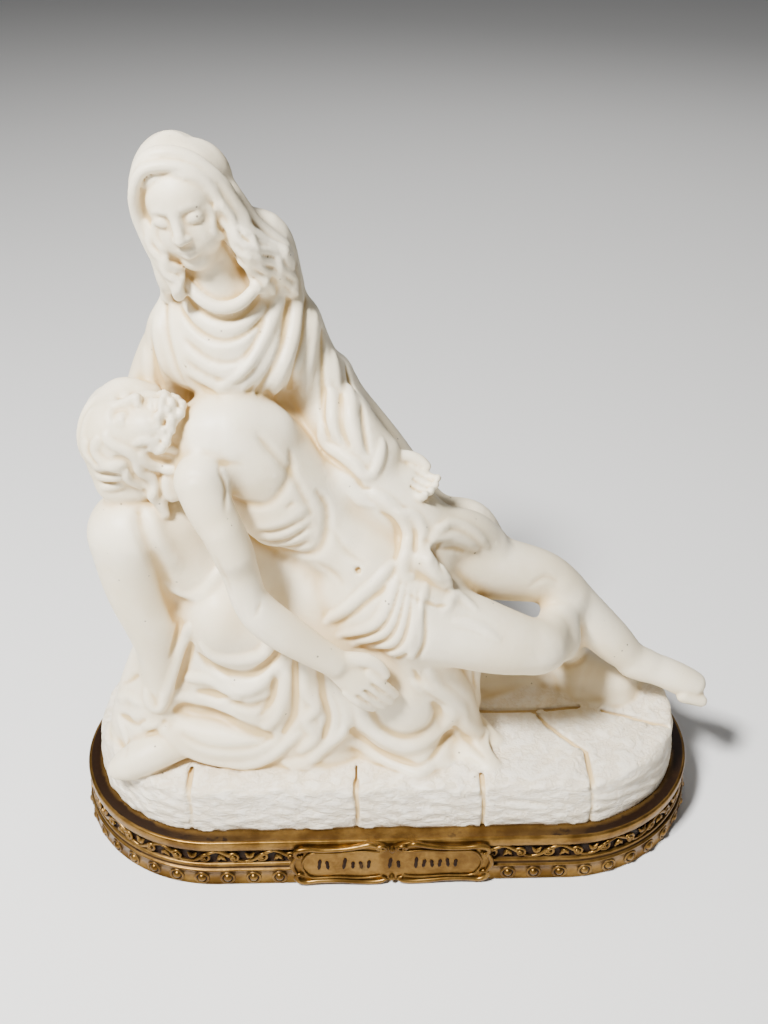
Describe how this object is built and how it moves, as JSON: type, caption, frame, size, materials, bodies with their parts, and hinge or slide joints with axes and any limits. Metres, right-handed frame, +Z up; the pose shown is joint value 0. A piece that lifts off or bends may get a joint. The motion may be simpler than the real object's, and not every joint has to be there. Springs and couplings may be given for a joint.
{
  "type": "pieta statuette",
  "caption": "Cast statuette of a seated veiled woman holding a dead man across her lap, on paved ground and an oval gilt plinth.",
  "frame": {"origin": "centre of the plinth's underside", "axes": "+Z up, +X towards the man's feet, -Y towards the front with the cartouche"},
  "size_m": [0.1432, 0.0666, 0.1524],
  "materials": {
    "ivory_resin": "satin ivory casting resin with warm wash in the hollows",
    "antique_gilt": "gold paint on resin, rubbed back over a dark brown ground"
  },
  "bodies": {
    "root": {"figure_group": "ivory_resin", "gilt_plinth": "antique_gilt"}
  },
  "joints": []
}
